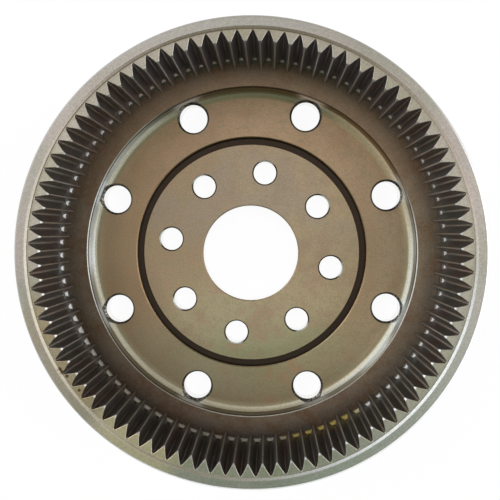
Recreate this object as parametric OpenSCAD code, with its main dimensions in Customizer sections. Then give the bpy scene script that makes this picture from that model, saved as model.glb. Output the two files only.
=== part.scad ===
// Internal ring gear with a dished, bolted hub plate, turned and cut from one steel forging.
// The back face lies on z = 0 and the open, toothed side faces +Z. The gear axis is Z.

/* [Teeth] */
// Number of internal teeth
tooth_count = 90; // [84:1:96]
// Module: pitch diameter divided by the number of teeth
tooth_module = 3; // [2.9:0.05:3.2]
// Pressure angle of the involute flanks, in degrees
pressure_angle = 25.5; // [24:0.5:27]
// Width of a tooth space along the pitch circle
space_w = 5.7; // [5.4:0.1:5.9]
// Height of a tooth inside the pitch circle
addendum = 3; // [2.4:0.1:3.2]
// Depth of a tooth space outside the pitch circle
dedendum = 4.65; // [4.3:0.05:4.8]
// Height of the rounded bottom of a tooth space
root_round = 0.65; // [0.5:0.05:0.75]
// Width of the teeth along the axis
face_w = 43.5; // [25:0.5:60]
// Chamfer on the tooth tips at the open side
tip_chamfer = 1.2; // [0.4:0.1:2]
// Angle of the first tooth space from +X, in degrees
tooth_start = 0.3; // [0:0.1:4]

/* [Rim] */
// Wall of the rim outside the tooth roots
rim_wall = 8.85; // [7.5:0.05:16]
// Width of the flat land outside the tooth roots
land_w = 0.85; // [0.5:0.05:2]
// Height of the raised outer band above the toothed face
band_h = 1.5; // [0.5:0.1:3]
// Width of the slope between the land and the band
band_slope = 1; // [0.3:0.1:2]
// Chamfer on the outer edge of the band
rim_chamfer = 1.8; // [0.6:0.1:2.4]
// Chamfer round the outer edge of the back
back_chamfer = 12; // [4:0.5:16]

/* [Relief groove behind the teeth] */
// Width of the groove along the axis
relief_w = 5; // [3.5:0.5:8]
// Depth of the groove outside the tooth roots
relief_h = 0.25; // [0.15:0.05:1]
// Fillet in the back corner of the groove
relief_fillet = 2.5; // [1:0.1:3]

/* [Dish] */
// Width of the shoulder from the tooth tips in to the lip of the dish
shoulder_w = 10.9; // [8:0.1:11]
// Depth of the dish floor below the shoulder
dish_h = 13; // [9:0.5:20]
// Chamfer on the lip of the dish
lip_chamfer = 0.4; // [0.2:0.1:0.8]
// Fillet between the dish wall and the floor
dish_fillet = 4.8; // [2:0.1:6]

/* [Hub plate] */
// Thickness of the plate
web_t = 10; // [7:0.5:20]
// Diameter of the centre bore
bore_d = 72; // [40:0.5:90]
// Chamfers of the centre bore
bore_chamfer = 0.8; // [0.3:0.1:2]
// Inner radius of the ring groove in the floor
ring_groove_r = 81.8; // [76:0.1:90]
// Width of the ring groove
ring_groove_w = 5.4; // [3:0.1:8]
// Depth of the ring groove
ring_groove_h = 3; // [1:0.1:5]
// Chamfer on the outer edge of the ring groove
ring_groove_chamfer = 0.8; // [0.3:0.1:1.5]

/* [Bolt holes] */
// Number of holes in the inner circle
inner_count = 8; // [4:1:12]
// Diameter of the inner bolt circle
inner_circle_d = 123; // [112:0.5:132]
// Diameter of the inner holes
inner_hole_d = 17; // [11:0.5:22]
// Angle of the first inner hole from +X, in degrees
inner_start = 34.8; // [0:0.1:45]
// Number of holes in the outer circle
outer_count = 8; // [4:1:12]
// Diameter of the outer bolt circle
outer_circle_d = 221; // [214:0.5:221]
// Diameter of the outer holes
outer_hole_d = 21; // [12:0.5:22]
// Angle of the first outer hole from +X, in degrees
outer_start = 23; // [0:0.1:45]
// Chamfer on the mouths of the inner holes and on all mouths at the back
hole_chamfer = 0.9; // [0.3:0.1:1.5]
// Chamfer on the mouths of the outer holes in the dish
outer_chamfer = 1.4; // [0.6:0.1:1.6]
// Depth of the seat sunk round each outer hole
seat_h = 0.3; // [0.1:0.1:0.8]
// Height of the notch that the seat leaves in the foot of the dish wall
notch_h = 6; // [5.5:0.5:8]

/* [Smoothness] */
// Segments of a full turn
turn_segments = 180; // [120:12:720]
// Segments round a hole
hole_segments = 48; // [36:4:120]

/* [Hidden] */
steel = [0.60, 0.56, 0.50];
pass = 1;                // how far a cut runs past the face it opens
flank_steps = 4;         // straight steps along one flank
round_steps = 5;         // straight steps round the bottom of a space

// radii
pitch_r = tooth_count * tooth_module / 2;
base_r = pitch_r * cos(pressure_angle);
tip_r = pitch_r - addendum;
root_r = pitch_r + dedendum;
outer_r = root_r + rim_wall;
step_r = root_r + land_w;
relief_r = root_r + relief_h;
lip_r = tip_r - shoulder_w;
wall_r = lip_r - lip_chamfer;
bore_r = bore_d / 2;

// heights above the back face
shoulder_z = web_t + dish_h;
teeth_z = shoulder_z + relief_w;
face_z = teeth_z + face_w;
height = face_z + band_h;

// The involute function of an angle, with both in degrees.
function inv(a) = tan(a) * 180 / PI - a;

// Half the angle that a tooth space takes up at radius r: the flanks close as r grows.
function half_space(r) = space_w / pitch_r * 90 / PI + inv(pressure_angle) - inv(acos(base_r / r));

function at(r, a) = [r * cos(a), r * sin(a)];

// One flank, from inside the tip circle out to the rounded bottom. side is 1 or -1.
flank_in = tip_r - pass;
flank_out = root_r - root_round;
function flank(side) = [
    for (k = [0 : flank_steps])
        let (r = flank_in + (flank_out - flank_in) * k / flank_steps)
            at(r, side * half_space(r))
];

// The rounded bottom is the arc through both flank ends and the root circle.
flank_end = at(flank_out, half_space(flank_out));
round_rise = root_r - flank_end[0];
round_r = (pow(flank_end[1], 2) + pow(round_rise, 2)) / (2 * round_rise);
round_half = atan2(flank_end[1], round_r - round_rise);
function space_bottom() = [
    for (k = [1 : round_steps - 1])
        let (a = round_half * (2 * k / round_steps - 1))
            [root_r - round_r + round_r * cos(a), round_r * sin(a)]
];

module tooth_space() {
    points = concat(flank(-1), space_bottom(), [for (k = [flank_steps : -1 : 0]) flank(1)[k]]);
    translate([0, 0, teeth_z - pass])
        linear_extrude(height = face_w + 2 * pass)
            polygon(points);
}

// Material left in the corner between a level floor and an upright wall by a round of radius r.
module corner_fillet(wall, floor_z, r) {
    difference() {
        polygon([[wall - r, floor_z], [wall, floor_z], [wall, floor_z + r]]);
        translate([wall - r, floor_z + r]) circle(r = r, $fn = turn_segments);
    }
}

// Half section through the axis, with sharp inside corners.
module turned_outline() {
    polygon([
        [bore_r + bore_chamfer, 0],
        [outer_r - back_chamfer, 0],
        [outer_r, back_chamfer],
        [outer_r, height - rim_chamfer],
        [outer_r - rim_chamfer, height],
        [step_r + band_slope, height],
        [step_r, face_z],
        [tip_r + tip_chamfer, face_z],
        [tip_r, face_z - tip_chamfer],
        [tip_r, teeth_z],
        [relief_r, teeth_z],
        [relief_r, shoulder_z],
        [lip_r, shoulder_z],
        [wall_r, shoulder_z - lip_chamfer],
        [wall_r, web_t],
        [ring_groove_r + ring_groove_w + ring_groove_chamfer, web_t],
        [ring_groove_r + ring_groove_w, web_t - ring_groove_chamfer],
        [ring_groove_r + ring_groove_w, web_t - ring_groove_h],
        [ring_groove_r, web_t - ring_groove_h],
        [ring_groove_r, web_t],
        [bore_r + bore_chamfer, web_t],
        [bore_r, web_t - bore_chamfer],
        [bore_r, bore_chamfer]
    ]);
}

module turned_body() {
    rotate_extrude($fn = turn_segments) {
        turned_outline();
        corner_fillet(wall_r, web_t, dish_fillet);
        corner_fillet(relief_r, shoulder_z, relief_fillet);
    }
}

// Copies on a bolt circle, each with its own +X towards the gear axis.
module on_circle(count, circle_d, start) {
    for (i = [0 : count - 1])
        rotate(start + 180 + i * 360 / count)
            translate([-circle_d / 2, 0])
                children();
}

// Chamfer cone at the mouth of a hole whose face lies at z = 0 and opens towards +Z.
module mouth(d) {
    translate([0, 0, -hole_chamfer])
        cylinder(d1 = d, d2 = d + 2 * (hole_chamfer + pass), h = hole_chamfer + pass, $fn = hole_segments);
}

// Outer hole with its chamfer and a shallow round seat, which cuts a notch into the foot of the dish wall.
module outer_hole() {
    seat_d = outer_hole_d + 2 * outer_chamfer;
    seat_z = web_t - seat_h;
    translate([0, 0, -pass])
        cylinder(d = outer_hole_d, h = web_t + pass, $fn = hole_segments);
    mirror([0, 0, 1]) mouth(outer_hole_d);
    translate([0, 0, seat_z - outer_chamfer])
        cylinder(d1 = outer_hole_d, d2 = seat_d, h = outer_chamfer, $fn = hole_segments);
    translate([0, 0, seat_z])
        cylinder(d = seat_d, h = seat_h + notch_h, $fn = hole_segments);
}

module inner_hole() {
    translate([0, 0, -pass])
        cylinder(d = inner_hole_d, h = web_t + 2 * pass, $fn = hole_segments);
    translate([0, 0, web_t]) mouth(inner_hole_d);
    mirror([0, 0, 1]) mouth(inner_hole_d);
}

module ring_gear() {
    color(steel)
        difference() {
            turned_body();
            for (i = [0 : tooth_count - 1])
                rotate(tooth_start + i * 360 / tooth_count)
                    tooth_space();
            on_circle(inner_count, inner_circle_d, inner_start) inner_hole();
            on_circle(outer_count, outer_circle_d, outer_start) outer_hole();
        }
}

ring_gear();
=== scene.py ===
"""Ring gear lying on its back, seen from above its open, toothed side."""
from types import SimpleNamespace

import bpy
import numpy as np
from mathutils import Matrix, Vector


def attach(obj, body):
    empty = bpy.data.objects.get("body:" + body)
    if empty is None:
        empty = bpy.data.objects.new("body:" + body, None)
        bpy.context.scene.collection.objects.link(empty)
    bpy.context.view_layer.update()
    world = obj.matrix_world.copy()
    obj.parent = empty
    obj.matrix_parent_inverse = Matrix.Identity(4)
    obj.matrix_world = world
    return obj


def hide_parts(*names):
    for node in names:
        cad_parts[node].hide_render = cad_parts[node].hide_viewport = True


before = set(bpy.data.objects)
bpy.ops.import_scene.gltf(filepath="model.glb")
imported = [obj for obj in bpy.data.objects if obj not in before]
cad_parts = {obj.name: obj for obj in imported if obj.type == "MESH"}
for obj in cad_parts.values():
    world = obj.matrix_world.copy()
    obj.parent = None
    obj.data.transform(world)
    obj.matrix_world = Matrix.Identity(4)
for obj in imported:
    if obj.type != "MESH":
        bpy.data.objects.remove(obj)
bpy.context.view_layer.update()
scene = bpy.context.scene

# Sizes in millimetres, as in the part's source; a drill runs PASS beyond the face that it opens
MM = 0.001
TEETH = 90
PITCH_R = 135.0
PRESSURE = np.radians(25.5)
SPACE_W = 5.7
TIP_R = 132.0
ROOT_R = 139.65
ROOT_ROUND = 0.65
TOOTH_START = np.radians(0.3)
TIP_CHAMFER = 1.2
OUTER_R = 148.5
STEP_R = 140.5
BAND_SLOPE = 1.0
RIM_CHAMFER = 1.8
BACK_CHAMFER = 12.0
RELIEF_R = 139.9
RELIEF_FILLET = 2.5
LIP_R = 121.1
LIP_CHAMFER = 0.4
DISH_R = 120.7
DISH_FILLET = 4.8
GROOVE_R = 81.8
GROOVE_W = 5.4
GROOVE_CHAMFER = 0.8
BORE_R = 36.0
BORE_CHAMFER = 0.8
HOLE_CHAMFER = 0.9
MOUTH_CHAMFER = 1.4
EDGE_BREAK = 0.25
PASS = 1.0

# Heights above the back face
WEB_Z = 10.0
GROOVE_Z = 7.0
SEAT_Z = 9.7
NOTCH_Z = 16.0
SHOULDER_Z = 23.0
TEETH_Z = 28.0
FACE_Z = 71.5
TOP_Z = 73.0

# Bolt circles: count, radius of the circle, radius of a hole, angle of the first hole
OUTER_HOLES = (8, 110.5, 10.5, np.radians(23.0))
INNER_HOLES = (8, 61.5, 8.5, np.radians(34.8))

# Rust spots on the face: radius, angle in degrees and size
RUST_SPOTS = ((140.0, 210.8, 2.2), (139.7, 211.9, 2.4), (138.4, 213.4, 2.1), (137.4, 218.4, 1.8))

# Places where the dish gets less painted reflection and less gloss, as angle in degrees and strength:
# wall and fillet, wall alone
FAINT_SHEEN_SIDES = ((200, 0.6), (22, 0.5), (163, 0.3))
FAINT_SHEEN_WALL = ((343, 0.6), (300, 0.6))

# Mesh density: columns of one tooth pitch on plain turned surfaces, radii of the rows down a flank,
# steps of a root and of a round, and the angle above which an edge is shaded sharp
PLAIN_STEPS = 6
FLANK_RADII = (132.2, 132.45, 132.8, 133.2, 134.3, 135.6, 136.8, 138.0)
ROOT_STEPS = 6
ROUND_STEPS = 7
SHARP_ANGLE = np.radians(28.0)


def half_space(r):
    """Half the angle of a tooth space at radius r: an involute, closing as r grows."""
    base = PITCH_R * np.cos(PRESSURE)
    at_r = np.arccos(base / r)
    involute = (np.tan(PRESSURE) - PRESSURE) - (np.tan(at_r) - at_r)
    return SPACE_W / PITCH_R / 2 + involute


def tooth_pitch():
    """Radius and angle along one pitch, from mid tooth to mid tooth, with the space at angle 0.

    Tip land, broken tip edge, involute flank, and the arc through both flank ends and the root circle.
    """
    tip_break = 0.15
    edge = half_space(TIP_R) + tip_break / TIP_R
    flank_end = ROOT_R - ROOT_ROUND
    radii = np.array([TIP_R, TIP_R, *FLANK_RADII, flank_end])
    angles = np.concatenate([[-np.pi / TEETH, -edge], -half_space(radii[2:])])
    reach = flank_end * np.sin(half_space(flank_end))
    rise = ROOT_R - flank_end * np.cos(half_space(flank_end))
    round_r = (reach**2 + rise**2) / (2 * rise)
    sweep = np.arcsin(reach / round_r) * np.linspace(-1, 1, ROOT_STEPS + 1)[1:-1]
    x = ROOT_R - round_r + round_r * np.cos(sweep)
    y = round_r * np.sin(sweep)
    bottom_r, bottom_a = np.hypot(x, y), np.arctan2(y, x)
    r = np.concatenate([radii, bottom_r, radii[:1:-1], radii[1:2]])
    a = np.concatenate([angles, bottom_a, -angles[:0:-1]])
    return r, a


def toothed_loop():
    """The tooth outline all round: one pitch repeated, as radius and angle."""
    r, a = tooth_pitch()
    turns = TOOTH_START + np.arange(TEETH)[:, None] * 2 * np.pi / TEETH
    return np.tile(r, TEETH), (turns + a).ravel()


def spread(r, a, amount):
    """The loop moved outwards, square to its own course, by amount."""
    x, y = r * np.cos(a), r * np.sin(a)
    dx, dy = np.roll(x, -1) - np.roll(x, 1), np.roll(y, -1) - np.roll(y, 1)
    length = np.hypot(dx, dy)
    x, y = x + amount * dy / length, y - amount * dx / length
    return np.hypot(x, y), np.arctan2(y, x)


def at_height(r, a, z):
    """Points of a loop of radii and angles, all at one height."""
    return np.stack([r * np.cos(a), r * np.sin(a), np.full_like(a, z)], axis=1)


def toothed_rows():
    """Loops down the teeth from the face to their back ends.

    Near the face the loop is spread by the broken edge and stays outside the cone of the tip chamfer.
    """
    r, a = toothed_loop()
    rows = []
    for depth, share in ((0, 1.0), (0.1, 0.45), (EDGE_BREAK, 0.0), (0.7, 0.0), (TIP_CHAMFER, 0.0)):
        cone = TIP_R + max(TIP_CHAMFER - depth, 0)
        wide_r, wide_a = spread(r, a, share * EDGE_BREAK)
        rows.append(at_height(np.maximum(wide_r, cone), wide_a, FACE_Z - depth))
    for z in (FACE_Z - 2.5, (FACE_Z + TEETH_Z) / 2, TEETH_Z + EDGE_BREAK):
        rows.append(at_height(r, a, z))
    rows.append(at_height(*spread(r, a, EDGE_BREAK / 2), TEETH_Z))
    return rows


def arc(centre_r, centre_z, radius, start, end, steps=ROUND_STEPS):
    """Section points on an arc about a centre, with angles in degrees from the outward direction."""
    turn = np.radians(np.linspace(start, end, steps + 1))
    return np.stack([centre_r + radius * np.cos(turn), centre_z + radius * np.sin(turn)], axis=1)


def turned_section():
    """Half section: back of the teeth, shoulder, dish, hub, back, outer wall, band and its step."""
    broken = 0.2
    groove_out = GROOVE_R + GROOVE_W
    back_r = OUTER_R - BACK_CHAMFER
    parts = [
        [(RELIEF_R, TEETH_Z), (RELIEF_R, TEETH_Z - 1)],
        arc(RELIEF_R - RELIEF_FILLET, SHOULDER_Z + RELIEF_FILLET, RELIEF_FILLET, 0, -90),
        [(RELIEF_R - RELIEF_FILLET - 0.5, SHOULDER_Z), (LIP_R + 0.4, SHOULDER_Z)],
        arc(LIP_R + 0.1, SHOULDER_Z - LIP_CHAMFER, LIP_CHAMFER, 90, 180, 3),
        [(DISH_R, SHOULDER_Z - 1.2), (DISH_R, WEB_Z + DISH_FILLET + 0.5)],
        arc(DISH_R - DISH_FILLET, WEB_Z + DISH_FILLET, DISH_FILLET, 0, -90, 9),
        [(DISH_R - DISH_FILLET - 0.5, WEB_Z), (DISH_R - DISH_FILLET - 6, WEB_Z)],
        [(groove_out + GROOVE_CHAMFER + 0.3, WEB_Z), (groove_out + GROOVE_CHAMFER, WEB_Z)],
        [(groove_out, WEB_Z - GROOVE_CHAMFER), (groove_out, GROOVE_Z + 0.5)],
        [(groove_out - 0.5, GROOVE_Z), (GROOVE_R + 0.5, GROOVE_Z)],
        [(GROOVE_R, GROOVE_Z + 0.5), (GROOVE_R, WEB_Z - broken), (GROOVE_R - broken, WEB_Z)],
        [(GROOVE_R - 0.6, WEB_Z), (BORE_R + BORE_CHAMFER + 0.4, WEB_Z)],
        [(BORE_R + BORE_CHAMFER, WEB_Z), (BORE_R, WEB_Z - BORE_CHAMFER)],
        [(BORE_R, BORE_CHAMFER), (BORE_R + BORE_CHAMFER, 0), (BORE_R + BORE_CHAMFER + 0.4, 0)],
        [(back_r - 1, 0), (back_r - broken, 0), (back_r + broken, broken), (back_r + 1, 1)],
        [(OUTER_R - 1, BACK_CHAMFER - 1), (OUTER_R - broken, BACK_CHAMFER - broken)],
        [(OUTER_R, BACK_CHAMFER + broken), (OUTER_R, BACK_CHAMFER + 1)],
        [(OUTER_R, TOP_Z - RIM_CHAMFER - 1), (OUTER_R, TOP_Z - RIM_CHAMFER - 0.1)],
        [(OUTER_R - 0.1, TOP_Z - RIM_CHAMFER)],
        [(OUTER_R - RIM_CHAMFER, TOP_Z - 0.1), (OUTER_R - RIM_CHAMFER - 0.15, TOP_Z)],
        [(STEP_R + BAND_SLOPE + 0.15, TOP_Z), (STEP_R + BAND_SLOPE, TOP_Z - 0.1)],
        [(STEP_R + 0.12, FACE_Z + 0.1), (STEP_R, FACE_Z)],
    ]
    return np.concatenate([np.asarray(part, float) for part in parts])


def strips(loops, start):
    """Four-sided faces between neighbouring loops of the same number of points."""
    rows, columns = len(loops), len(loops[0])
    index = start + np.arange(rows * columns).reshape(rows, columns)
    after = np.roll(index, -1, axis=1)
    return np.stack([index[:-1], after[:-1], after[1:], index[1:]], axis=-1).reshape(-1, 4).tolist()


def pitch_faces(fine, plain, upwards):
    """One flat face for each tooth pitch, between a fine loop inside and a plain loop round it."""
    halves = []
    for loop in (plain, fine):
        columns = loop.reshape(TEETH, -1)
        halves.append(np.concatenate([columns, np.roll(columns[:, :1], -1, axis=0)], axis=1))
    faces = np.concatenate([halves[0], halves[1][:, ::-1]], axis=1)
    return (faces if upwards else faces[:, ::-1]).tolist()


def new_object(name, points, faces):
    """A mesh object at the origin from points in millimetres."""
    mesh = bpy.data.meshes.new(name)
    mesh.from_pydata((points * MM).tolist(), [], faces)
    piece = bpy.data.objects.new(name, mesh)
    scene.collection.objects.link(piece)
    return piece


def gear_body():
    """The whole gear without bolt holes: toothed loops and turned loops, closed into one skin."""
    toothed = toothed_rows()
    columns = TEETH * PLAIN_STEPS
    turns = TOOTH_START - np.pi / TEETH + np.arange(columns) * 2 * np.pi / columns
    turned = [at_height(np.full_like(turns, r), turns, z) for r, z in turned_section()]
    fine, plain = np.arange(len(toothed[0])), np.arange(columns)
    plain_start = fine.size * len(toothed)
    last_toothed = fine.size * (len(toothed) - 1)
    last_turned = plain_start + columns * (len(turned) - 1)
    faces = strips(toothed, 0) + strips(turned, plain_start)
    faces += pitch_faces(last_toothed + fine, plain_start + plain, False)
    faces += pitch_faces(fine, last_turned + plain, True)
    return new_object("gear", np.concatenate(toothed + turned), faces)


def drill(holes, section, steps=96):
    """Closed solids of revolution on a bolt circle, from the drill's radii and heights, lowest first."""
    count, circle_r, _, start = holes
    radii, heights = np.asarray(section, float).T
    turn = np.arange(steps) * 2 * np.pi / steps
    x = radii[:, None] * np.cos(turn)
    y = radii[:, None] * np.sin(turn)
    z = np.broadcast_to(heights[:, None], x.shape)
    one = np.stack([x, y, z], axis=-1).reshape(-1, 3)
    centre = start + np.arange(count) * 2 * np.pi / count
    place = np.stack([circle_r * np.cos(centre), circle_r * np.sin(centre), np.zeros(count)], axis=1)
    points = (one[None] + place[:, None]).reshape(-1, 3)
    index = np.arange(points.shape[0]).reshape(count, len(radii), steps)
    after = np.roll(index, -1, axis=2)
    walls = np.stack([index[:, :-1], after[:, :-1], after[:, 1:], index[:, 1:]], axis=-1).reshape(-1, 4)
    lids = np.concatenate([index[:, 0, ::-1], index[:, -1]])
    return points, walls.tolist() + lids.tolist()


def cut_holes(gear):
    """Drills both bolt circles; the drilled faces keep the drill's material.

    An outer drill ends in a flat seat, which leaves a notch in the foot of the dish wall.
    An inner drill ends in a chamfer.
    """
    outer_r, inner_r = OUTER_HOLES[2], INNER_HOLES[2]
    seat_r = outer_r + MOUTH_CHAMFER
    outer_mouth = [(outer_r, SEAT_Z - MOUTH_CHAMFER), (seat_r, SEAT_Z), (seat_r, NOTCH_Z)]
    inner_mouth = [(inner_r, WEB_Z - HOLE_CHAMFER), (inner_r + HOLE_CHAMFER + PASS, WEB_Z + PASS)]
    for holes, mouth in ((OUTER_HOLES, outer_mouth), (INNER_HOLES, inner_mouth)):
        back = [(holes[2] + HOLE_CHAMFER + PASS, -PASS), (holes[2], HOLE_CHAMFER)]
        cutter = new_object("drill", *drill(holes, back + mouth))
        cutter.data.materials.append(drilled_steel)
        cut = gear.modifiers.new("holes", "BOOLEAN")
        cut.object = cutter
        cut.operation = "DIFFERENCE"
        cut.solver = "EXACT"
        cut.material_mode = "TRANSFER"
        drilled_gear = gear.evaluated_get(bpy.context.evaluated_depsgraph_get())
        finished = bpy.data.meshes.new_from_object(drilled_gear)
        gear.modifiers.clear()
        gear.data = finished
        bpy.data.objects.remove(cutter)


# Materials
def srgb(red, green, blue):
    """A colour from the 0 to 255 scale of a screen as the linear values that a shader takes."""
    screen = np.array([red, green, blue]) / 255
    linear = np.where(screen <= 0.04045, screen / 12.92, ((screen + 0.055) / 1.055) ** 2.4)
    return (*linear.tolist(), 1.0)


class Value:
    """A number socket: each operator adds the Math node that it names."""

    def __init__(self, nodes, socket):
        self.nodes = nodes
        self.socket = socket

    def math(self, operation, first, *others):
        numbers = dict(enumerate([first, *others]))
        return self.nodes.value("ShaderNodeMath", {"operation": operation}, numbers)

    def __add__(self, other):
        return self.math("ADD", self, other)

    def __sub__(self, other):
        return self.math("SUBTRACT", self, other)

    def __rsub__(self, other):
        return self.math("SUBTRACT", other, self)

    def __mul__(self, other):
        return self.math("MULTIPLY", self, other)

    def __truediv__(self, other):
        return self.math("DIVIDE", self, other)

    __radd__ = __add__
    __rmul__ = __mul__

    def sqrt(self):
        return self.math("SQRT", self)

    def cos(self):
        return self.math("COSINE", self)

    def sin(self):
        return self.math("SINE", self)

    def largest(self, other):
        return self.math("MAXIMUM", self, other)

    def wrap(self, high, low):
        return self.math("WRAP", self, high, low)

    def rise(self, low, high):
        """0 below low, 1 above high and smooth between; a fall where low is the larger."""
        ends = {"Value": self, "From Min": low, "From Max": high}
        return self.nodes.value("ShaderNodeMapRange", {"interpolation_type": "SMOOTHSTEP"}, ends)

    def within(self, low, high, soft):
        """1 between low and high, 0 outside, smooth over soft."""
        return self.rise(low - soft, low) * self.rise(high + soft, high)


class Nodes:
    """The node tree of one material or of the world."""

    def __init__(self, owner):
        owner.use_nodes = True
        self.tree = owner.node_tree
        self.tree.nodes.clear()

    def add(self, kind, settings=None, inputs=None):
        node = self.tree.nodes.new(kind)
        for name, setting in (settings or {}).items():
            setattr(node, name, setting)
        for name, value in (inputs or {}).items():
            value = getattr(value, "socket", value)
            if isinstance(value, bpy.types.NodeSocket):
                self.tree.links.new(value, node.inputs[name])
            else:
                node.inputs[name].default_value = value
        return node

    def value(self, kind, settings=None, inputs=None):
        return Value(self, self.add(kind, settings, inputs).outputs[0])

    def mix(self, amount, first, second):
        """Colour first where amount is 0, second where it is 1."""
        node = self.add("ShaderNodeMix", {"data_type": "RGBA"}, {0: amount, 6: first, 7: second})
        return node.outputs[2]

    def tint(self, colour, factor):
        """The colour made lighter or darker by a factor."""
        colour = colour[:3] if isinstance(colour, tuple) else colour
        node = self.add("ShaderNodeVectorMath", {"operation": "SCALE"}, {0: colour, "Scale": factor})
        return node.outputs[0]

    def noise(self, place, scale, detail=3.0, roughness=0.5):
        inputs = {"Vector": place, "Scale": scale, "Detail": detail, "Roughness": roughness}
        return self.value("ShaderNodeTexNoise", None, inputs)

    def line_noise(self, along, scale, detail=2.0):
        """Noise that changes along one number only, such as the radius of a turned face."""
        inputs = {"W": along, "Scale": scale, "Detail": detail}
        return self.value("ShaderNodeTexNoise", {"noise_dimensions": "1D"}, inputs)

    def round_place(self):
        """Object place, and radius, angle and height about the gear axis in millimetres and radians."""
        place = self.add("ShaderNodeTexCoord").outputs["Object"]
        parts = self.add("ShaderNodeSeparateXYZ", None, {0: place})
        x, y, z = (Value(self, out) for out in parts.outputs)
        radius = (x * x + y * y).sqrt() * 1000
        angle = x.math("ARCTAN2", y, x)
        return place, radius, angle, z * 1000

    def finish(self, **inputs):
        """The surface shader and the output node."""
        names = {name.replace("_", " "): value for name, value in inputs.items()}
        shader = self.add("ShaderNodeBsdfPrincipled", None, names)
        self.add("ShaderNodeOutputMaterial", None, {"Surface": shader.outputs[0]})


def hole_distance(radius, angle, holes):
    """Distance in millimetres from the axis of the nearest hole of a circle, by folding the angle."""
    count, circle_r, _, start = holes
    half = np.pi / count
    folded = (angle - start).wrap(half, -half)
    along = radius * folded.cos() - circle_r
    across = radius * folded.sin()
    return (along * along + across * across).sqrt()


def facing(angle, degrees):
    """Cosine of the turn from a fixed direction about the gear axis: 1 there, -1 opposite."""
    return (angle - np.radians(degrees)).cos()


def side(angle, degrees, low, high):
    """1 on the side in a fixed direction and 0 away from it: the cosine of the turn, from low to high."""
    return facing(angle, degrees).rise(low, high)


def spot(radius, angle, centre_r, degrees, size):
    """1 at a place on a turned face, falling to 0 at a distance of size millimetres."""
    across = radius * 2 * centre_r * facing(angle, degrees)
    return (radius * radius + centre_r**2 - across).largest(0).sqrt().rise(size, 0)


class SteelPlace:
    """A place on the steel: radius, angle, height, noises, and on which side of the axis it lies."""

    def __init__(self, n):
        place, self.r, self.a, self.z = n.round_place()
        self.cloud = n.noise(place, 22, 4)
        self.patch = n.noise(place, 60, 5, 0.6)
        self.fleck = n.noise(place, 260, 4, 0.6)
        self.grain = n.noise(place, 900, 3, 0.7)
        cut = self.r + self.z * 0.7
        self.marks = n.line_noise(cut, 1.4, 3)
        self.fine_marks = n.line_noise(cut, 5.0, 1)

        # The painted sheen is strong at the right and left, and weak above and below; these side masks
        # place painted light and shade
        self.across = facing(self.a, 0)
        self.above = facing(self.a, 90)
        self.sheen = (self.across * self.across - self.across * self.above * 0.5).rise(0.05, 1.0)
        self.left = self.across.rise(0.2, -0.7)
        self.below = self.above.rise(-0.35, -0.9)
        self.low_glint = self.side(252, 0.45, 0.85)
        # The side where the rim chamfer gets a painted highlight
        self.lit_rim_side = self.side(-46, 0.0, 0.6)

    def side(self, degrees, low, high):
        """The side of the gear in a fixed direction, as the function side gives it."""
        return side(self.a, degrees, low, high)


def dish_sheen(at):
    """How strongly the dish wall and its fillet reflect the room: painted reflection in their colour, and
    gloss.
    """
    full_left = at.side(180, 0.95, 1.0)
    wall = at.sheen * at.sheen * (0.8 - 0.35 * at.side(350, 0.91, 0.98)) + 0.3 * full_left
    wall = wall + 0.2 * at.side(318, 0.87, 0.98)
    fillet = at.sheen * (1 - 0.6 * at.across.rise(-0.4, -0.8)) + 0.6 * full_left
    fillet = fillet + 0.4 * at.side(46, 0.85, 0.98)
    for degrees, strength in FAINT_SHEEN_SIDES:
        sheen_kept = 1 - at.side(degrees, 0.95, 0.99) * strength
        wall, fillet = wall * sheen_kept, fillet * sheen_kept
    for degrees, strength in FAINT_SHEEN_WALL:
        wall = wall * (1 - at.side(degrees, 0.95, 0.99) * strength)
    return wall, fillet


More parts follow.
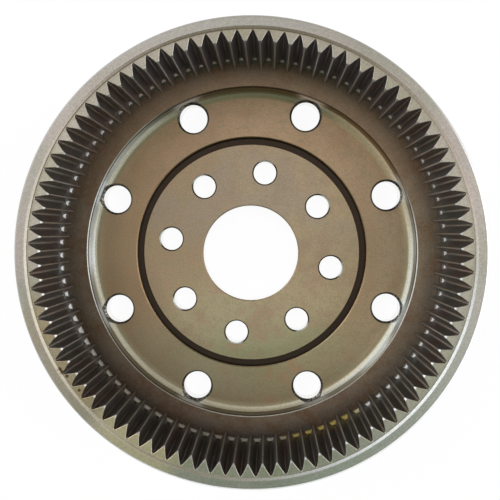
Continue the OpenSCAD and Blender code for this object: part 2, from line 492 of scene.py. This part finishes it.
def steel_zones(at):
    """1 on each turned or cut zone of the gear and 0 elsewhere, by radius and height."""
    r, z = at.r, at.z
    hub = z.rise(WEB_Z + 1, WEB_Z - 0.5)
    in_groove = r.within(GROOVE_R - 0.1, GROOVE_R + GROOVE_W + 0.1, 0.3)
    fillet_z = WEB_Z + DISH_FILLET
    on_fillet = r.rise(DISH_R - 5.7, DISH_R - 3.7) * r.rise(DISH_R + 1.3, DISH_R + 0.3)
    on_wall = r.within(DISH_R - 0.2, DISH_R + 0.3, 0.2)
    teeth = z.within(SHOULDER_Z + 0.2, FACE_Z - 0.3, 0.15) * r.within(TIP_R + 0.1, RELIEF_R + 0.1, 0.05)
    relief_in = RELIEF_R - RELIEF_FILLET
    on_shoulder = r.within(LIP_R + 0.1, relief_in, 0.3)
    relief = z.within(SHOULDER_Z + 0.1, TEETH_Z - 0.2, 0.2) * r.within(relief_in, RELIEF_R + 0.2, 0.2)
    glint_z = TEETH_Z - 2.8 - 1.75 * at.low_glint + 0.25 * at.across.rise(0.7, 0.95)
    tip_cone = TIP_R + TIP_CHAMFER
    rim_r = OUTER_R - RIM_CHAMFER
    outer_wall = r.rise(STEP_R + 0.1, STEP_R + 0.5) * z.rise(TOP_Z - 1.8, TOP_Z - 2)
    back_r = OUTER_R - BACK_CHAMFER
    back_cone = z.rise(BACK_CHAMFER + 2, BACK_CHAMFER + 1) * r.rise(back_r - 6.5, back_r - 4.5)
    return SimpleNamespace(
        hub=hub,
        boss=hub * r.rise(GROOVE_R + 0.7, GROOVE_R - 0.3),
        bore=r.rise(BORE_R + 0.6, BORE_R + 0.3) * z.within(0.9, WEB_Z - 0.9, 0.2),
        groove=z.rise(WEB_Z - 0.4, WEB_Z - 1) * in_groove,
        shoulder=z.within(SHOULDER_Z - 0.1, SHOULDER_Z + 0.4, 0.3) * on_shoulder,
        fillet=z.within(WEB_Z + 0.1, fillet_z - 0.2, 0.4) * on_fillet,
        wall=z.within(fillet_z, SHOULDER_Z - 0.6, 0.5) * on_wall,
        lip=r.within(DISH_R + 0.05, LIP_R + 0.1, 0.15) * z.rise(SHOULDER_Z - 0.8, SHOULDER_Z - 0.5),
        under_lip=z.within(SHOULDER_Z - 2.1, SHOULDER_Z - 0.9, 0.4) * on_wall,
        teeth=teeth,
        tip=z.within(TEETH_Z, FACE_Z - 1.3, 0.2) * r.rise(TIP_R + 0.16, TIP_R + 0.04),
        root=teeth * r.rise(ROOT_R - 0.55, ROOT_R - 0.15),
        relief=relief,
        glint=relief * (z - glint_z).within(-1.2, 1.3 - 0.9 * at.low_glint, 0.3),
        tip_chamfer=z.within(FACE_Z - 1.1, FACE_Z - 0.1, 0.1) * r.rise(tip_cone + 0.1, tip_cone - 0.05),
        face=z.within(FACE_Z - 0.2, FACE_Z + 0.1, 0.1) * r.within(TIP_R + 1, STEP_R - 0.1, 0.1),
        foot=z.within(FACE_Z - 0.1, FACE_Z + 0.3, 0.05) * r.within(STEP_R - 0.35, STEP_R, 0.15),
        slope=z.within(FACE_Z + 0.2, TOP_Z - 0.1, 0.05) * r.rise(STEP_R + 2.5, STEP_R + 1.8),
        band=z.rise(TOP_Z - 0.4, TOP_Z - 0.1) * r.rise(rim_r + 0.3, rim_r),
        rim_edge=z.rise(TOP_Z - 1.9, TOP_Z - 1.7) * r.rise(rim_r, rim_r + 0.1),
        outside=outer_wall.largest(back_cone),
        back=z.rise(0.3, 0.05),
    )


def plate_tints(n, at, zone):
    """The hub plate: the ring outside the groove, the boss inside it, the groove and the bore."""
    # Painted reflection: the annulus colour changes with the side of the gear and is browner at the right
    # and left
    annulus = n.mix(at.left, srgb(173, 146, 113), srgb(164, 130, 95))
    annulus = n.mix(at.below, annulus, srgb(156, 141, 106))
    annulus = n.mix(at.above.rise(0.2, 0.9) * 0.6, annulus, srgb(176, 139, 103))
    annulus = n.mix(at.patch.rise(0.5, 0.75), annulus, srgb(166, 128, 94))
    annulus = n.mix(at.fleck.rise(0.45, 0.7) * 0.6, annulus, srgb(146, 128, 96))
    brown_reflection = (at.across * at.across).rise(0.4, 0.95) * at.r.rise(104, 92)
    annulus = n.mix(brown_reflection * 0.6, annulus, srgb(162, 128, 92))
    # Painted highlights and painted shade by side
    bright = 0.14 * at.side(-42, 0.5, 0.95) + 0.13 * at.side(55, 0.5, 0.95)
    bright = bright + 0.12 * at.side(45, 0.8, 0.97) * at.r.rise(106, 112)
    bright = bright + 0.1 * at.side(-45, 0.8, 0.97) * at.r.rise(112, 106)
    dark = 0.08 * at.across.rise(0.75, 1) + 0.09 * at.across.rise(-0.75, -1) * at.r.rise(95, 112)
    annulus = n.tint(annulus, 1 + bright - dark)

    # Painted reflection: the boss colour changes with the side of the gear, with a painted highlight
    # towards the bottom
    boss = n.mix(at.left, srgb(180, 161, 131), srgb(168, 148, 120))
    boss = n.mix(at.below, boss, srgb(180, 163, 134))
    boss = n.mix(at.side(280, 0.7, 0.97) * at.r.rise(50, 74), boss, srgb(160, 157, 124))
    boss = n.mix(at.patch.rise(0.45, 0.65) * 0.9, boss, srgb(172, 146, 124))
    boss = n.mix(at.above.rise(-0.2, 0.6) * at.cloud.rise(0.42, 0.58) * 0.8, boss, srgb(164, 152, 138))
    boss = n.mix(at.fleck.rise(0.45, 0.7) * 0.6, boss, srgb(158, 148, 118))
    boss = n.tint(boss, 1 + 0.14 * at.side(-95, -0.1, 0.8) * at.r.rise(78, 70))
    # The groove is painted dark, as shade in the recess
    return [
        (zone.hub, annulus), (zone.boss, boss),
        (zone.groove, srgb(64, 54, 46)), (zone.bore, srgb(250, 250, 248)),
    ]


def dish_tints(n, at, zone, wall_sheen, fillet_sheen):
    """The shoulder, the lip, and the wall and fillet of the dish, with painted reflections of the room at
    the sides and painted shade.
    """
    # Painted shade: the shoulder darker towards the teeth, and lighter or darker by side
    shoulder = n.mix(at.r.rise(136, 122), srgb(138, 129, 116), srgb(160, 142, 122))
    shoulder = n.mix(at.patch.rise(0.4, 0.65), shoulder, srgb(142, 117, 96))
    shoulder = n.mix(at.fleck.rise(0.45, 0.65) * 0.7, shoulder, srgb(152, 136, 112))
    shoulder = n.mix(at.above.rise(0, 0.8) * 0.5, shoulder, srgb(158, 128, 104))
    shoulder = n.tint(shoulder, 1 + facing(at.a, 40) * 0.3)

    # Painted reflections and shade on the fillet and wall: browner towards the upper right, dimmed at the
    # top, bright where the sheen is painted
    brown_reflection = at.side(62, 0.45, 0.95)
    dimmed = at.side(92, 0.78, 0.97)
    high = n.mix(dimmed, srgb(204, 197, 172), srgb(142, 128, 100))
    high = n.mix(fillet_sheen, high, srgb(248, 254, 252))
    low = n.mix(at.z.rise(WEB_Z + 0.3, WEB_Z + 1.2), srgb(142, 130, 102), srgb(204, 198, 174))
    fillet = n.mix(at.z.rise(WEB_Z + 1.4, WEB_Z + 2.4), n.tint(low, 1 + at.across * 0.12), high)
    fillet = n.mix(brown_reflection * (1 - dimmed) * 0.6, fillet, srgb(244, 212, 168))
    fillet = n.mix(dimmed * 0.6, fillet, srgb(142, 130, 98))
    shaded_foot = 0.28 * at.side(45, 0.8, 0.95) * at.z.rise(WEB_Z + 2.2, WEB_Z + 1.2)
    shaded_middle = 0.24 * at.side(200, 0.6, 0.9) * at.z.within(WEB_Z + 0.6, WEB_Z + 1.5, 0.5)
    fillet = n.tint(fillet, 1 - shaded_foot - shaded_middle)

    wall = n.mix(wall_sheen, srgb(132, 126, 110), srgb(242, 250, 252))
    wall = n.mix(brown_reflection * 0.8, wall, srgb(160, 132, 98))
    edge_shade = 0.22 + 0.6 * at.side(318, 0.8, 0.95)
    # Painted highlight on the lip at the right and left, painted shade at the top
    lip = n.mix((at.across * at.across).rise(0.6, 1.0), srgb(178, 175, 166), srgb(250, 250, 246))
    lip = n.mix(at.side(66, 0.45, 0.85), lip, srgb(112, 84, 62))
    lip = n.mix(at.side(95, 0.8, 0.97), lip, srgb(72, 54, 36))
    lip = n.mix(at.side(227, 0.8, 0.95) * 0.6, lip, srgb(120, 112, 100))
    return [
        (zone.shoulder, shoulder), (zone.fillet, fillet), (zone.wall, wall),
        (zone.under_lip, n.tint(wall, edge_shade)), (zone.lip, lip),
    ]


def tooth_tints(n, at, zone):
    """The flanks, roots and tips of the teeth, and the relief groove with its glints, with painted light
    and shade by side.
    """
    flank = n.mix(at.patch.rise(0.45, 0.6), srgb(138, 138, 134), srgb(144, 128, 122))
    flank = n.mix(at.fleck.rise(0.5, 0.68) * at.left * 0.9, flank, srgb(130, 102, 88))
    # Painted reflection: flanks browner at the left and bluer at the top; flanks and tips lighter at the
    # sides and top
    flank = n.mix(at.side(82, 0.6, 0.95) * 0.7, flank, srgb(142, 134, 146))
    painted_side_light = 0.95 + at.across * at.across * 0.15 + at.above * 0.2
    # Painted sheen on the roots
    root = n.mix(at.sheen, srgb(114, 110, 114), srgb(188, 186, 182))
    root = n.tint(root, 1 + 0.45 * at.side(66, 0.4, 0.9) - 0.15 * at.side(135, 0.6, 0.9))
    # Painted glints in the relief groove, set lower towards the bottom; the relief itself is painted
    # dark, as shade
    glint = n.mix(at.low_glint, srgb(252, 252, 250), srgb(170, 164, 148))
    glint = n.mix(at.above.rise(0.3, 0.9), glint, srgb(252, 222, 216))
    glint = n.mix(at.side(293, 0.965, 0.99), glint, srgb(186, 164, 84))
    # Painted highlight: the tip chamfers lighter towards the bottom
    tip_chamfer = n.mix(at.above.rise(0.9, -0.2), srgb(160, 158, 150), srgb(186, 185, 179))
    return [
        (zone.teeth, n.tint(flank, painted_side_light)), (zone.root, root),
        (zone.tip, n.tint(srgb(162, 159, 157), painted_side_light)),
        (zone.relief, srgb(94, 88, 78)), (zone.glint, glint), (zone.tip_chamfer, tip_chamfer),
    ]


def rim_tints(n, at, zone):
    """The toothed face, and with it the band, the step between them, and the outside, with painted light
    and shade by side.
    """
    face = n.mix(at.cloud.rise(0.35, 0.65), srgb(175, 168, 156), srgb(166, 160, 142))
    # Painted highlights on the face at two sides
    face = n.tint(face, 1 + 0.08 * (at.side(162, 0.92, 0.99) + at.side(322, 0.92, 0.99)))
    band = n.mix(at.cloud.rise(0.4, 0.6), srgb(177, 168, 160), srgb(168, 163, 152))
    # Painted light: the band paler at the top and the lower right
    paler = (at.side(95, 0.8, 0.99) * 0.8).largest(at.side(-45, 0.7, 0.97))
    band = n.mix(paler, band, srgb(180, 176, 168))
    # Painted light and shade on the foot and the slope of the step, by side
    foot = n.mix(at.side(128, 0.1, 0.7), face, srgb(124, 110, 88))
    foot = n.mix(at.side(-45, 0.7, 0.95) * 0.8, foot, srgb(138, 136, 122))
    slope = n.mix(at.side(80, -0.2, 0.9), srgb(166, 160, 144), srgb(222, 200, 188))
    slope = n.mix(at.side(-45, 0.5, 0.95), slope, srgb(182, 183, 180))
    # Painted highlight: the rim chamfer turns white on the lower right side
    rim_edge = n.mix(at.lit_rim_side, srgb(172, 168, 160), srgb(255, 255, 255))
    return face, [
        (zone.band, band), (zone.foot, foot), (zone.slope, slope), (zone.rim_edge, rim_edge),
        (zone.outside, srgb(150, 146, 138)), (zone.back, srgb(140, 132, 118)),
    ]


def stains_and_painted_light(n, at, zone, colour):
    """Painted shade round the hole mouths, a brown film and rust on the lower left, and a painted
    highlight streak.
    """
    outer_mouth = OUTER_HOLES[2] + MOUTH_CHAMFER
    inner_mouth = INNER_HOLES[2] + HOLE_CHAMFER
    near_outer = hole_distance(at.r, at.a, OUTER_HOLES).rise(outer_mouth + 0.5, outer_mouth)
    near_inner = hole_distance(at.r, at.a, INNER_HOLES).rise(inner_mouth + 0.5, inner_mouth)
    # Painted shade darkens the hub round the hole mouths
    mouth_shade = near_outer.largest(near_inner) * zone.hub * (1 - zone.bore)
    colour = n.mix(mouth_shade * 0.6, colour, srgb(60, 50, 42))
    filmed = zone.face.largest(zone.foot).largest(zone.band * 0.5)
    film = at.side(209, 0.93, 0.985) * at.patch.rise(0.25, 0.55) * filmed
    colour = n.mix(film * (0.35 + 0.5 * at.fleck), colour, srgb(170, 144, 104))
    flat = zone.face.largest(zone.band).largest(zone.foot)
    rust = 0
    for rust_spot in RUST_SPOTS:
        rust = spot(at.r, at.a, *rust_spot) + rust
    rust = rust * (0.3 + at.fleck) * flat.largest(zone.slope * 0.7)
    colour = n.mix(rust.rise(0.05, 0.6) * 0.9, colour, srgb(84, 56, 30))
    # Painted highlight streak on the lower left
    streak = at.side(239, 0.965, 0.995) * flat
    return n.mix(streak * 0.5, colour, srgb(226, 202, 162))


def machined():
    """Turned and ground steel: each turned zone has its own tint, painted light and shade, marks, stains
    and gloss.
    """
    material = bpy.data.materials.new("machined steel")
    n = Nodes(material)
    at = SteelPlace(n)
    zone = steel_zones(at)
    wall_sheen, fillet_sheen = dish_sheen(at)
    colour, rim = rim_tints(n, at, zone)
    dish = dish_tints(n, at, zone, wall_sheen, fillet_sheen)
    for covered, tint in plate_tints(n, at, zone) + dish + tooth_tints(n, at, zone) + rim:
        colour = n.mix(covered, colour, tint)
    colour = stains_and_painted_light(n, at, zone, colour)
    worn = 0.85 + 0.2 * at.marks + 0.1 * at.fine_marks + 0.9 * (at.grain - 0.5)
    colour = n.tint(colour, worn.largest(zone.bore).largest(zone.rim_edge * at.lit_rim_side))

    glossy_wall = zone.wall * (0.2 + wall_sheen) * (1 - zone.under_lip)
    satin = zone.fillet.largest(zone.glint * 2).largest(zone.lip).largest(glossy_wall)
    roughness = 0.34 + 0.14 * at.cloud + 0.1 * at.patch + zone.shoulder * 0.1
    roughness = roughness * (1 - zone.bore * 0.7) + satin * 0.08
    height = at.marks * 0.6 + at.fine_marks * 0.4 + at.grain * 0.25
    bump = n.add("ShaderNodeBump", None, {"Strength": 0.35, "Distance": 0.00004, "Height": height})
    n.finish(Base_Color=colour, Metallic=1 - satin * 0.5, Roughness=roughness, Normal=bump.outputs[0])
    return material


def drilled():
    """Drill-cut walls: clean and bright inside, with their mouths in the dish painted dark as shade, plus
    painted highlights and reflections on some sides.
    """
    material = bpy.data.materials.new("drilled steel")
    n = Nodes(material)
    place, r, a, z = n.round_place()
    patch = n.noise(place, 180, 3)
    streak = n.noise(place, 700, 3, 0.6)
    feed = n.line_noise(z, 6.0, 2)
    outer = r.rise(90, 91)
    outer_z = SEAT_Z - MOUTH_CHAMFER
    inner_z = WEB_Z - HOLE_CHAMFER
    mouth = z.rise(outer_z - 0.05, outer_z + 0.05) * outer
    mouth = mouth.largest(z.rise(inner_z - 0.05, inner_z + 0.05))
    notch = z.rise(SEAT_Z, SEAT_Z + 0.2) * outer
    inner_r, outer_r = INNER_HOLES[1], OUTER_HOLES[1]
    # Painted highlight on the outward chamfer of the inner holes, and painted reflection on the notches
    # at the right
    bright_side = r.rise(inner_r + 6.3, inner_r + 8.3) * (1 - outer)
    rough_side = r.rise(outer_r - 0.5, outer_r + 3.5) * streak.rise(0.4, 0.6)
    light_side = side(a, 0, 0.5, 0.9) * notch
    # The rest of the mouths is painted dark, as shade
    inner_mouth = n.mix(bright_side, srgb(72, 64, 56), srgb(196, 193, 184))
    notch_cut = n.mix(streak.rise(0.4, 0.6), srgb(66, 62, 58), srgb(132, 128, 120))
    dark = n.mix(outer, inner_mouth, srgb(60, 56, 52))
    dark = n.mix(outer * rough_side, dark, srgb(136, 130, 120))
    dark = n.mix(notch, dark, notch_cut)
    dark = n.mix(light_side, dark, srgb(196, 204, 200))
    clean = n.mix(feed, srgb(252, 252, 250), srgb(240, 240, 238))
    colour = n.mix(mouth, clean, n.tint(dark, 0.7 + 0.6 * patch))
    bump = n.add("ShaderNodeBump", None, {"Strength": 0.2, "Distance": 0.00003, "Height": feed})
    satin = mouth * bright_side.largest(light_side)
    roughness = 0.16 + 0.22 * mouth
    n.finish(Base_Color=colour, Metallic=1 - satin * 0.7, Roughness=roughness, Normal=bump.outputs[0])
    return material


machined_steel = machined()
drilled_steel = drilled()

gear = gear_body()
gear.data.materials.append(machined_steel)
cut_holes(gear)
gear.data.polygons.foreach_set("use_smooth", np.ones(len(gear.data.polygons), bool))
gear.data.set_sharp_from_angle(angle=SHARP_ANGLE)
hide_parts("ring_gear")
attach(gear, "root")


# Floor, world and lamps
def pale_floor():
    """A pale floor that the camera and the metal see as white, with a little of the shadow kept."""
    material = bpy.data.materials.new("pale floor")
    n = Nodes(material)
    path = n.add("ShaderNodeLightPath")
    seen = Value(n, path.outputs["Is Camera Ray"]).largest(Value(n, path.outputs["Is Glossy Ray"]))
    seen = seen.largest(Value(n, path.outputs["Is Transmission Ray"]))
    plain = n.add("ShaderNodeBsdfDiffuse", None, {"Color": (0.8, 0.8, 0.8, 1)})
    white_level, kept_shadow = 1.03, 0.1
    white = n.add("ShaderNodeEmission", None, {"Strength": white_level})
    ends = {0: seen * (1 - kept_shadow), 1: plain.outputs[0], 2: white.outputs[0]}
    both = n.add("ShaderNodeMixShader", None, ends)
    n.add("ShaderNodeOutputMaterial", None, {"Surface": both.outputs[0]})
    half, below = 4.0, -0.0002
    mesh = bpy.data.meshes.new("floor")
    corners = [(-half, -half, below), (half, -half, below), (half, half, below), (-half, half, below)]
    mesh.from_pydata(corners, [], [(0, 1, 2, 3)])
    floor = bpy.data.objects.new("floor", mesh)
    mesh.materials.append(material)
    scene.collection.objects.link(floor)


def studio_world():
    """White for the camera. The metal sees a soft room, with broad light low at the right and left."""
    world = bpy.data.worlds.new("studio")
    scene.world = world
    n = Nodes(world)
    direction = n.add("ShaderNodeTexCoord").outputs["Generated"]
    parts = n.add("ShaderNodeSeparateXYZ", None, {0: direction})
    x, y, z = (Value(n, out) for out in parts.outputs)
    high_room = n.mix(y.rise(-0.62, -0.12), srgb(103, 167, 132), srgb(248, 246, 244))
    glow = (x * x).rise(0.3, 0.9) * 0.7 + (y * 0.6 - x * 0.6).rise(0.45, 0.85) * 0.5
    high_room = n.tint(high_room, glow + 0.95)
    level = (x * x + y * y).sqrt().largest(0.05)
    sideways, far = x / level, y / level
    right = sideways.rise(0.55, 0.95)
    left = (far * 0.42 - sideways * 0.91).rise(0.4, 0.95)
    near = (far * -1).rise(0.5, 0.95)
    low_room = n.mix(right.largest(left), srgb(245, 240, 222), srgb(236, 244, 255))
    strength = 0.55 + right * 1.5 + left * 1.2 - near * 0.4 - far.rise(0.6, 0.95) * 0.2
    low_room = n.tint(low_room, strength)
    room = n.mix(z.rise(0.72, 0.5), high_room, low_room)
    path = n.add("ShaderNodeLightPath")
    direct = Value(n, path.outputs["Is Camera Ray"])
    direct = direct.largest(Value(n, path.outputs["Is Transmission Ray"]))
    seen = n.mix(direct, room, (1, 1, 1, 1))
    back = n.add("ShaderNodeBackground", None, {"Color": seen, "Strength": 1.0})
    n.add("ShaderNodeOutputWorld", None, {"Surface": back.outputs[0]})


def lamp(name, place, size, energy):
    """A soft square lamp aimed at the gear."""
    light = bpy.data.lights.new(name, "AREA")
    light.shape = "RECTANGLE"
    light.size, light.size_y = size
    light.energy = energy
    lit = bpy.data.objects.new(name, light)
    scene.collection.objects.link(lit)
    lit.location = place
    lit.rotation_euler = (-Vector(place)).to_track_quat("-Z", "Y").to_euler()


def camera():
    """Looks down on the open side a little off the axis, as in the photograph."""
    right = (0.99909, -0.00171, -0.04254)
    up = (0.0, 0.99919, -0.04013)
    back = (0.04257, 0.04009, 0.99828)
    data = bpy.data.cameras.new("camera")
    data.lens, data.sensor_width = 32.4, 36.0
    data.clip_start = 0.01
    eye = bpy.data.objects.new("camera", data)
    scene.collection.objects.link(eye)
    turn = Matrix((right, up, back)).transposed()
    eye.matrix_world = Matrix.LocRotScale((0.01413, 0.01604, 0.35159), turn.to_quaternion(), None)
    scene.camera = eye


pale_floor()
studio_world()
lamp("window", (-1.25, 0.72, 0.8), (0.8, 0.7), 5)
lamp("side", (1.2, 0.2, 0.7), (0.5, 0.9), 4)
camera()
scene.view_settings.view_transform = "Standard"
